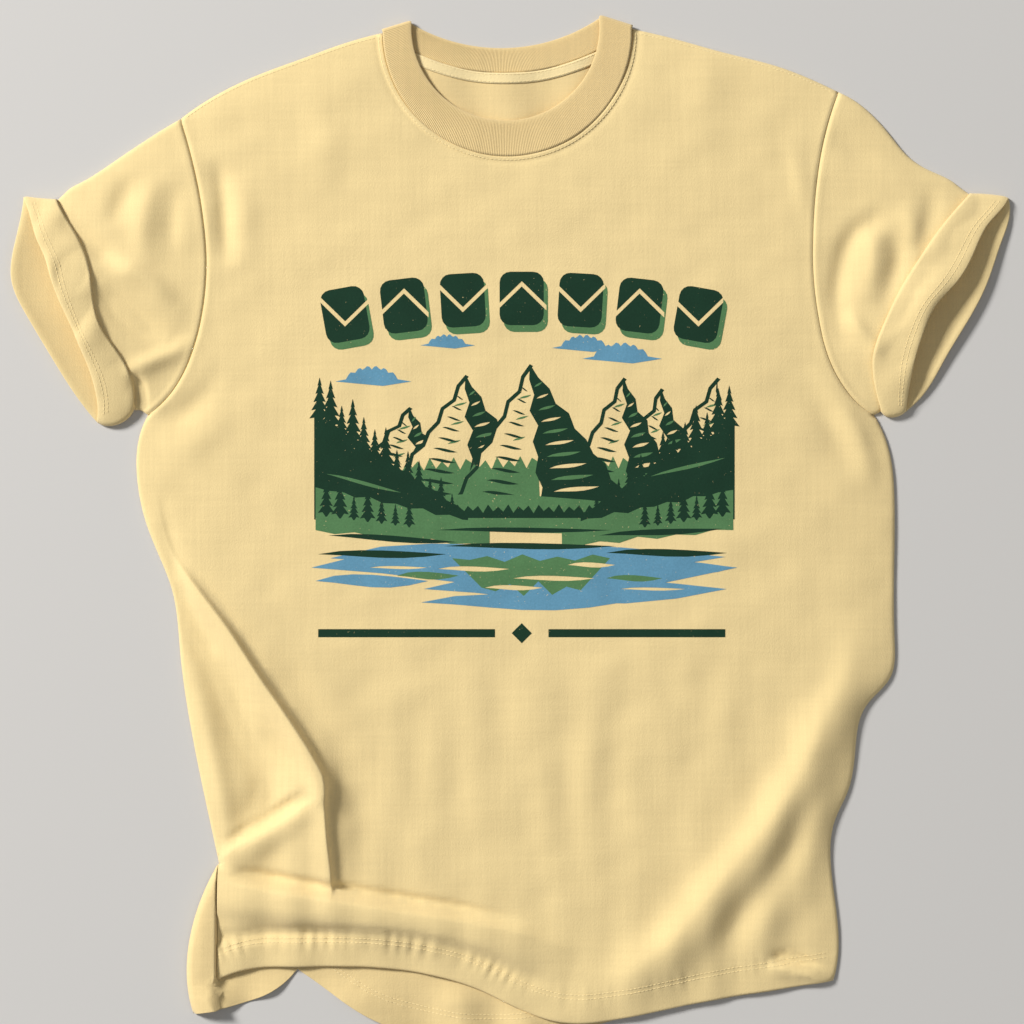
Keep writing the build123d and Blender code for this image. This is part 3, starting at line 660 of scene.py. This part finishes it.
front_left_edge = front_hem[:2]
hem_edge = front_hem[1:]
front_outline = smooth_loop([
    np.linspace(*front_left_edge, 8), hem_edge, right_side, right_arm[::-1], right_shoulder,
    front_neck[::-1], left_shoulder, left_arm, left_side,
])
front_rows = []
for edge in (hem_edge, right_side, right_shoulder, left_shoulder, left_side, front_left_edge):
    front_rows += edge_rows(np.linspace(*edge, 8) if len(edge) == 2 else edge, (0.45, 1.1, 2.1, 3.5))
for edge in (right_arm, left_arm[::-1]):
    front_rows += edge_rows(edge[::-1], (0.7, 1.5, 2.5, 4.0))
front_rows += edge_rows(front_neck[::-1], (0.8, 1.8, 3.0, 4.4, 6.0))
for points, *_ in CREASES:
    front_rows += edge_rows(np.array(points)[:, :2], (-5, -3, -1.8, -0.8, 0, 0.8, 1.8, 3, 5))
for row in hem_rows(resample(hem_edge, 2.0)):
    front_rows += edge_rows(row, (-5, -2.5, 0, 2.5, 5), 2.0)
front_places, front_faces = triangulated([front_outline], lattice([front_outline], SPACING, front_rows))

roll = to_edges(front_places, rolled_edges)
front_z = surface(front_places, roll)
hem_away = nearest(front_places, resample(hem_edge, 3))[0]
gathered = 0.35 + 0.65 * np.clip((40 - front_places[:, 0]) / 120, 0, 1)
front_z += gathered * 0.75 * pucker(front_places, resample(hem_edge, 3) + np.array([0, HEM - 4.5]), 0.75)
front_z -= 1.3 * (1 - quarter(hem_away / 1.6))
front_z = np.maximum(front_z, EDGE)
front_points = np.column_stack([front_places, front_z])
front = new_piece("front_cloth", front_points, front_faces, jersey, ["front_panel"])
thicken(front, JERSEY)

LEFT_CORNER = np.array([-238, -361])  # the lowest place of the roll of cloth at the left
NOTCH = np.array([-160, -328])  # where that roll meets the rest of the back's hem
left_corner = np.linalg.norm(back_hem - LEFT_CORNER, axis=1).argmin()
if np.linalg.norm(back_hem[0] - tuck) < 1:
    back_hem, left_corner = back_hem[::-1], len(back_hem) - 1 - left_corner
back_bottom, left_roll = back_hem[:left_corner + 1], back_hem[left_corner:]
notch = np.linalg.norm(back_bottom - NOTCH, axis=1).argmin()


def drawn_in(line, distance=1.2):
    return moved_left(resample(line, 3.0), distance)


back_outline = np.concatenate([
    drawn_in(right_side), resample(right_arm[::-1], 3.0)[1:-1], drawn_in(right_shoulder),
    resample(back_neck[::-1], 3.0)[1:-1], drawn_in(left_shoulder), resample(left_arm, 3.0)[1:-1],
    drawn_in(left_side), resample(left_roll[::-1], 3.0)[1:-1],
    resample(back_bottom[notch:][::-1], 3.0)[:-1],
    resample(back_bottom[:notch + 1][::-1], 3.0)[:-1],
])
column_edge = np.linspace(tuck, front_left_corner, 30)
back_rows = edge_rows(left_roll, (-0.5, -1.2, -2.2, -3.6, -5.5))
back_rows += edge_rows(left_roll, (0.5, 1.2, 2.2, 3.6, 5.5))
back_rows += edge_rows(column_edge, (-4.5, -2.6, -1.4, -0.6, 0, 0.8), 2.5)
back_rows += edge_rows(back_bottom, (-0.5, -1.2, 0.5, 1.2))
back_places, back_faces = triangulated([back_outline], lattice([back_outline], SPACING * 1.5, back_rows))
hem_by_x = HEM_LINE[np.argsort(HEM_LINE[:, 0])]


COLUMN_TOP = -236.0  # where the roll of cloth at the left begins to stand above the back
COLUMN_HEIGHT = 7.5


def back_surface(places):
    """Height of the back layer's upper face: soft folds, and the roll of cloth left of the front."""
    x, y = places.T
    z = np.full(len(places), BACK_TOP) + np.maximum(0.6 * CLOTH_WAVES.at(places[:, ::-1] * 1.3), -0.1)
    below_hem = np.interp(x, hem_by_x[:, 0], hem_by_x[:, 1]) - y
    low = np.clip((-332 - y) / 20, 0, 1) * (0.4 + 0.6 * np.clip((below_hem - 1) / 8, 0, 1))
    z = z + low * 2.4 * (1 + np.sin(x / 9.5 + 1.2 * np.sin(x / 31) + y / 60))
    inside_neck = np.exp(-(((x + 3) / 95) ** 4)) * np.clip((y - 250) / 40, 0, 1)
    inside_neck = inside_neck * (1 + 0.8 * np.clip((322 - y) / 12, 0, 1))
    z = z + inside_neck * (0.9 + 0.9 * np.cos(2 * math.pi * (x + 0.12 * (y - 320)) / 52))
    right_gap, lateral, _ = nearest(places, column_edge)
    right_gap = np.where(lateral < 0, right_gap, 0)
    left_gap = nearest(places, left_roll)[0]
    tall = COLUMN_HEIGHT * np.clip((COLUMN_TOP - y) / 22, 0, 1) ** 0.7
    tall = tall * (1 - 0.25 * np.clip((-300 - y) / 60, 0, 1))
    column = tall * quarter(right_gap / 1.8) * quarter(left_gap / 8)
    return z + np.where(y < COLUMN_TOP, column, 0)


back_z = back_surface(back_places)
back_seam = resample(back_bottom, 3) + np.array([0, HEM - 4.5])
back_z += 0.6 * pucker(back_places, back_seam, 0.7) * (back_places[:, 1] < -325)
back_z = np.maximum(back_z, BACK_TOP)
back_points = np.column_stack([back_places, back_z])
# The back layer takes the darker jersey, which carries painted shade.
back = new_piece("back_cloth", back_points, back_faces, jersey_inside_painted_shade, ["back_panel"])
thicken(back, JERSEY * 0.9)


# -------- sleeves
def along_line(line, shares):
    """Places at shares of the way along a line."""
    dense = resample(line, 1.0)
    run = np.concatenate([[0], np.cumsum(np.linalg.norm(np.diff(dense, axis=0), axis=1))])
    return np.stack([np.interp(np.asarray(shares) * run[-1], run, dense[:, k]) for k in range(2)], axis=1)


def patch(start, end, top, under, rows, across):
    """A grid of places between four lines: rows from start to end, each across from top to under."""
    a, e = along_line(start, across), along_line(end, across)
    t, u = along_line(top, rows), along_line(under, rows)
    r, v = np.asarray(rows)[:, None, None], np.asarray(across)[None, :, None]
    flat = (1 - r) * a[None] + r * e[None] + (1 - v) * t[:, None] + v * u[:, None]
    corners = (1 - r) * (1 - v) * a[0] + (1 - r) * v * a[-1] + r * (1 - v) * e[0] + r * v * e[-1]
    return flat - corners


def shares_across(length, spacing):
    """Shares of the way across a flattened tube, closer together at its two folds."""
    ends = np.array([0, 0.35, 0.9, 1.7, 2.8, 4.4]) / length
    middle = np.linspace(6.5 / length, 1 - 6.5 / length, int(length / spacing))
    return np.concatenate([ends, middle, 1 - ends[::-1]])


def inset(across, distance, length):
    return (distance + across * (length - 2 * distance)) / length


SLEEVE_ARCH = {"left": 9.5, "right": 8.5}  # how far the upper layer stands up at the rim
CURL = {"left": 6.5, "right": 4.0}  # how far the lower layer does
SLEEVE_WIDTH = 200.0  # across a flattened sleeve
CUFF_STEP = 1.2  # how far the lower layer is lifted by the band turned up under it
BAND_WAVES = Waves(8, 24, 60, 1.2)
RIM_TURN = 0.6  # radius of the inner face where the cloth turns up at the rim
TURN_STEPS = 6


def make_sleeve(side):
    """The tube from the armhole to its rim, turned back over its own outside as a band."""
    line = sleeves[side]
    length = SLEEVE_WIDTH
    spacing = 2.6
    across = shares_across(length, spacing)
    count = len(across)
    tube_rows = np.linspace(0, 1, int(90 / spacing))
    band_rows = np.linspace(0, 1, int(30 / (spacing * 0.8)))

    def roll_of(shares):
        return np.minimum(shares, 1 - shares) * length

    def arch(shares, reach):
        return SLEEVE_ARCH[side] * reach**1.5 * np.sin(math.pi * shares) ** 0.8

    loops = []

    def add_loop(top, top_z, low, low_z):
        upper = np.column_stack([top, top_z])
        lower = np.column_stack([low, low_z])[::-1][1:-1]
        loops.append(np.concatenate([upper, lower]))

    def curl(shares, reach):
        """The lower layer of the band, rolled up a little towards its rim."""
        return CURL[side] * reach**2 * np.sin(math.pi * shares) ** 0.7

    def below(shares, level):
        """The lower layer's height, drawn up to the folds at its two sides."""
        return level + (EDGE - level) * (1 - quarter(roll_of(shares) / 1.6))

    def band(edge, rim, across):
        """The cloth between the raw edge of the turned-up band and the rim."""
        return patch(line[edge], line[rim], line["cuff_top"], line["cuff_under"], band_rows, across)

    top = patch(line["armhole"], line["upper_edge"], line["top_fold"], line["underarm"], tube_rows, across)
    low = patch(line["armhole"], line["lower_edge"], line["top_fold"], line["underarm"], tube_rows, across)
    for k, reach in enumerate(tube_rows):
        z = surface(top[k], roll_of(across)) + arch(across, 0.75 * reach)
        rise = CUFF_STEP * np.clip((reach - 0.9) / 0.1, 0, 1)
        add_loop(top[k], z, low[k], below(across, UNDER + rise))
    inner_side = inset(across, 1.3, length)
    upper = band("upper_edge", "upper_rim", inner_side)
    lower = band("lower_edge", "lower_rim", inner_side)
    for k, reach in enumerate(band_rows[1:], 1):
        z = surface(upper[k], roll_of(across)) + arch(across, 0.75 + 0.25 * reach)
        add_loop(upper[k], z, lower[k], below(across, UNDER + CUFF_STEP) + curl(across, reach))
    last = loops[-1].copy()
    outer_side = inset(across, 0.85, length)
    band_up = band("upper_edge", "upper_rim", outer_side)
    band_low = band("lower_edge", "lower_rim", outer_side)

    def band_z(k, reach):
        """Heights of the turned-up band over the sleeve and under it."""
        z = surface(band_up[k], roll_of(across)) + arch(across, 0.75 + 0.25 * reach)
        z = z + 2 * RIM_TURN * quarter(roll_of(across) / 2.5) + np.maximum(BAND_WAVES.at(band_up[k]), -0.2)
        return z, below(across, UNDER + JERSEY) + curl(across, reach)

    first_top, first_low = band_z(len(band_rows) - 1, 1.0)
    first = np.concatenate([
        np.column_stack([band_up[-1], first_top]), np.column_stack([band_low[-1], first_low])[::-1][1:-1],
    ])
    out = first[:, :2] - np.concatenate([band_up[-2], band_low[-2][::-1][1:-1]])
    out /= np.maximum(np.linalg.norm(out, axis=1, keepdims=True), 1e-9)
    for step in range(1, TURN_STEPS):
        turn = math.pi * step / TURN_STEPS
        share = (1 - math.cos(turn)) / 2
        row = last * (1 - share) + first * share
        row[:, :2] += out * RIM_TURN * math.sin(turn)
        loops.append(row)
    for k in range(len(band_rows) - 1, -1, -1):
        z_top, z_low = band_z(k, band_rows[k])
        add_loop(band_up[k], z_top, band_low[k], z_low)
    around = len(loops[0])
    faces = []
    for row in range(len(loops) - 1):
        for k in range(around):
            a, b = row * around + k, row * around + (k + 1) % around
            quad = (a, b, b + around, a + around)
            faces.append(quad if side == "right" else quad[::-1])
    node = f"{side}_sleeve"
    sleeve = new_piece(f"{side}_sleeve_cloth", np.concatenate(loops), faces, jersey, [node])
    thicken(sleeve, JERSEY).modifiers[0].use_even_offset = False
    return sleeve


left_sleeve = make_sleeve("left")
right_sleeve = make_sleeve("right")


# -------- collar
RIB_PITCH = 1.35  # from one ridge of the rib to the next
RIDGE = 0.16  # height of a ridge
FRONT_MID = 4.7  # height of the middle of the band in front
BACK_MID = UNDER + RIB / 2


def make_collar():
    """The rib band round the neck: one closed shell as thick as the folded rib, with fine ridges."""
    fold_front = next(line for mark, line in runs(collar_front, [front_loop]) if mark is None)[::-1]
    fold_back = next(line for mark, line in runs(collar_back, [back_loop]) if mark is None)
    steps = 5
    fold_front, fold_back = fold_front[1:-1], fold_back[1:-1]
    front_count = int(300 / RIB_PITCH) * steps
    back_count = int(215 / RIB_PITCH) * steps
    shares = np.linspace(0, 1, front_count)
    seam_f, fold_f = along_line(front_neck, shares), along_line(fold_front, shares)
    shares = np.linspace(0, 1, back_count)
    seam_b, fold_b = along_line(back_neck, shares), along_line(fold_back, shares)
    if np.linalg.norm(seam_b[0] - seam_f[0]) > 5:
        seam_b = seam_b[::-1]
    if np.linalg.norm(fold_b[0] - fold_f[0]) > 5:
        fold_b = fold_b[::-1]
    if np.linalg.norm(fold_f[0] - seam_f[0]) > 60:
        fold_f = fold_f[::-1]
        fold_b = fold_b[::-1]
    up = np.linspace(0, 1, 15)
    turn_steps = 3 * steps
    radius = (FRONT_MID - BACK_MID) / 2
    columns = []

    def column(seam, fold, middle, out, facing, ridge):
        """One column up the outer face, over the fold and down the inner face; facing is the outer way."""
        half = RIB / 2 - 0.15
        rows = []

        def add(place, offset):
            rows.append((*(place + out * facing[0] * offset), middle + facing[1] * offset))

        def face(share, way):
            left = 1 - share
            thin = half * (0.75 + 0.25 * quarter(left / 0.06)) + RIDGE * ridge * quarter(left / 0.1)
            add(seam * left + fold * share, way * thin)

        for share in up:
            face(share, 1)
        ahead = (fold - seam) / np.linalg.norm(fold - seam)
        for turn in (0.25, 0.5, 0.75):
            bulge = math.cos(math.pi * turn) * half * 0.75
            add(fold + ahead * math.sin(math.pi * turn) * half * 0.8, bulge)
        for share in up[::-1]:
            face(share, -1)
        columns.append(rows)

    def corner(seam, fold, outward, angles):
        """The columns where the band turns over at a shoulder, between front and back."""
        out = fold - seam
        out = np.array([out[1], -out[0]]) / np.linalg.norm(out)
        out = out if out[0] * outward > 0 else -out
        for angle in angles:
            shift = out * radius * math.sin(angle) * 0.9
            middle = (FRONT_MID + BACK_MID) / 2 + radius * math.cos(angle)
            column(seam + shift, fold + shift, middle, out, (math.sin(angle), math.cos(angle)), ridge_now())

    phase = 0

    def ridge_now():
        nonlocal phase
        phase += 1
        return math.sin(2 * math.pi * phase / steps)

    for k in range(front_count):
        middle = FRONT_MID + 0.9 * math.sin(math.pi * k / front_count)
        column(seam_f[k], fold_f[k], middle, np.zeros(2), (0, 1), ridge_now())
    turns = range(1, turn_steps)
    corner(seam_f[-1], fold_f[-1], 1, [math.pi * k / turn_steps for k in turns])
    for k in range(back_count - 1, -1, -1):
        column(seam_b[k], fold_b[k], BACK_MID, np.zeros(2), (0, -1), ridge_now())
    corner(seam_f[0], fold_f[0], -1, [math.pi * (1 - k / turn_steps) for k in turns])
    high = len(columns[0])
    around = len(columns)
    faces = []
    for c in range(around):
        for k in range(high):
            a, b = c * high + k, ((c + 1) % around) * high + k
            a2, b2 = c * high + (k + 1) % high, ((c + 1) % around) * high + (k + 1) % high
            faces.append((a, b, b2, a2))
    # The collar band takes the darker rib colour, which carries painted shade.
    return new_piece("collar_band", np.concatenate(columns), faces, rib_knit, ["collar_rib"])


collar = make_collar()


# -------- stitches and tapes
def centre_lines(node, level):
    """The middle of each ribbon of a node, from its outline at one height."""
    found = []
    for loop in loops_of(node, level):
        half = len(loop) // 2
        turned = min(
            (np.roll(loop, -shift, axis=0) for shift in range(half)),
            key=lambda ring: np.linalg.norm(ring[:half] - ring[half:2 * half][::-1], axis=1).max(),
        )
        found.append((turned[:half] + turned[half:2 * half][::-1]) / 2)
    return found


def capsule(length, width, height, sides=6):
    """A stitch: a short rounded run of thread lying along X."""
    rings = [(-0.5, 0.35), (-0.36, 0.85), (0, 1.0), (0.36, 0.85), (0.5, 0.35)]
    points = []
    for along, full in rings:
        for k in range(sides):
            angle = 2 * math.pi * k / sides
            across, up = width / 2 * full * math.cos(angle), height / 2 * full * math.sin(angle)
            points.append((length * along, across, up))
    faces = []
    for ring in range(len(rings) - 1):
        for k in range(sides):
            a, b = ring * sides + k, ring * sides + (k + 1) % sides
            faces.append((a, a + sides, b + sides, b))
    faces.append(tuple(range(sides)))
    faces.append(tuple(range((len(rings) - 1) * sides, len(rings) * sides))[::-1])
    return np.array(points), faces


TWIN_NEEDLE = {"pitch": 3.0, "length": 2.45, "width": 0.5, "height": 0.42, "crosswise": False}
OVERLOCK = {"pitch": 1.7, "length": 3.0, "width": 0.6, "height": 0.5, "crosswise": True}
SINK = 0.14  # how deep a stitch is pulled into the cloth


def stitched(name, node, tree, pitch, length, width, height, crosswise):
    """A row of stitches, one short run of thread after another, on the cloth below."""
    lines = lines_in(node)[:1] if crosswise else lines_in(node)
    base, base_faces = capsule(length, width, height)
    points, faces = [], []
    for line in lines:
        row = resample(line, pitch)
        middle = (row[:-1] + row[1:]) / 2
        z, ends = heights(tree, middle), heights(tree, row)
        for k in range(len(middle)):
            way = np.array([*(row[k + 1] - row[k]), ends[k + 1] - ends[k]])
            way /= np.linalg.norm(way)
            if crosswise:
                way = np.array([-way[1], way[0], 0])
            side_way = np.array([-way[1], way[0], 0]) / np.linalg.norm(way[:2])
            up_way = np.cross(way, side_way)
            place = np.array([*middle[k], z[k] + height / 2 - SINK])
            start = len(points) * len(base)
            points.append(place + base @ np.array([way, side_way, up_way]))
            faces += [[start + v for v in face] for face in base_faces]
    return new_piece(name, np.concatenate(points), faces, thread, [node])


def ribbon(name, node, width, thickness):
    """A flat tape that lies on the back layer."""
    row = resample(lines_in(node)[0], 2.5)
    across = np.linspace(-0.5, 0.5, 7)
    low = [moved_left(row, width * share) for share in across]
    under = [heights(back_tree, edge) + 0.08 for edge in low]
    count = len(row)
    rings = [np.column_stack([edge, z]) for edge, z in zip(low, under)]
    rings += [np.column_stack([edge, z + thickness]) for edge, z in zip(low[::-1], under[::-1])]
    around = len(rings)
    faces = []
    for ring in range(around):
        for k in range(count - 1):
            a, b = ring * count + k, (ring + 1) % around * count + k
            faces.append((a, a + 1, b + 1, b))
    for end in (0, count - 1):
        cap = tuple(ring * count + end for ring in range(around))
        faces.append(cap if end == 0 else cap[::-1])
    return new_piece(name, np.concatenate(rings), faces, twill, [node])


def level_of(node):
    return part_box(node)[0].z / MM


def lines_in(node):
    return centre_lines(node, level_of(node))


upper_tree = tree_over(front, left_sleeve, right_sleeve)
back_tree = tree_over(back)
neck_tape = ribbon("neck_tape_strip", "neck_tape", 8.0, 0.6)


def sew(name, node, tree, style=TWIN_NEEDLE):
    stitched(name, node, tree, **style)


sew("neck_tape_stitches", "neck_tape_stitching", tree_over(neck_tape))
for side in ("left", "right"):
    ribbon(f"{side}_shoulder_tape_strip", f"{side}_shoulder_tape", 8.0, 0.5)
    sew(f"{side}_armhole_overlock", f"{side}_armhole_seam_thread", back_tree, OVERLOCK)
    sew(f"{side}_side_overlock", f"{side}_side_seam_thread", back_tree, OVERLOCK)
    sew(f"{side}_shoulder_stitches", f"{side}_shoulder_stitching", upper_tree)
    sew(f"{side}_cuff_stitches", f"{side}_sleeve_hem_stitching", upper_tree)
sew("neck_overlock", "neck_seam_thread", back_tree, OVERLOCK)
sew("collar_topstitches", "collar_topstitch", upper_tree)
sew("front_hem_stitches", "front_hem_stitching", upper_tree)
sew("back_hem_stitches", "back_hem_stitching", back_tree)


# -------- print
def split_long(loop, longest=4.0):
    """A closed outline with its long straight edges cut into shorter ones."""
    points = []
    for start, end in zip(loop, np.roll(loop, -1, axis=0)):
        pieces = int(np.linalg.norm(end - start) / longest) + 1
        points += [start + (end - start) * step / pieces for step in range(pieces)]
    return np.array(points)


def film(name, node, ink):
    """One ink as a thin film that follows the chest."""
    loops = [split_long(loop) for loop in loops_of(node, level_of(node)) if len(loop) > 2]
    places, faces = triangulated(loops, lattice(loops, 4.5))
    z = heights(upper_tree, places) + 0.16
    printed_film = new_piece(name, np.column_stack([places, z]), faces, ink, [node], smooth=False)
    thicken(printed_film, 0.1).modifiers[0].use_even_offset = False
    return printed_film


films = [
    film("print_dark_green_ink", "print_dark_green", ink_dark),
    film("print_mid_green_ink", "print_mid_green", ink_mid),
    film("print_blue_ink", "print_blue", ink_blue),
]


# -------- floor, light and camera
floor_mesh = bpy.data.meshes.new("floor")
FAR = 20.0  # metres from the middle of the floor to its edges
corners = [(-FAR, -FAR, 0), (FAR, -FAR, 0), (FAR, FAR, 0), (-FAR, FAR, 0)]
floor_mesh.from_pydata(corners, [], [(0, 1, 2, 3)])
floor = bpy.data.objects.new("floor", floor_mesh)
bpy.context.scene.collection.objects.link(floor)
floor_material, _, _, floor_shader = material("floor")
floor_shader.inputs["Base Color"].default_value = (0.62, 0.61, 0.59, 1)
floor_shader.inputs["Roughness"].default_value = 0.9
floor_mesh.materials.append(floor_material)


def area_light(name, place, size, watts, tint=(1, 1, 1)):
    data = bpy.data.lights.new(name, "AREA")
    data.energy, data.size, data.color = watts, size, tint
    light = bpy.data.objects.new(name, data)
    light.location = place
    light.rotation_euler = (-Vector(place)).to_track_quat("-Z", "Y").to_euler()
    bpy.context.scene.collection.objects.link(light)


area_light("key", (-5.2, 3.2, 3.9), 1.6, 693, (1, 0.98, 0.96))
area_light("fill", (2.6, -1.6, 3.0), 3.0, 18, (0.97, 0.98, 1))

world = bpy.data.worlds.new("studio")
world.use_nodes = True
world.node_tree.nodes["Background"].inputs["Color"].default_value = (1, 1, 1, 1)
world.node_tree.nodes["Background"].inputs["Strength"].default_value = 0.21
bpy.context.scene.world = world
bpy.context.scene.view_settings.view_transform = "Standard"

camera_data = bpy.data.cameras.new("camera")
camera_data.lens, camera_data.sensor_width = 85, 36
camera = bpy.data.objects.new("camera", camera_data)
camera.location = (0.00075, 0.0145, 1.813)
bpy.context.scene.collection.objects.link(camera)
bpy.context.scene.camera = camera
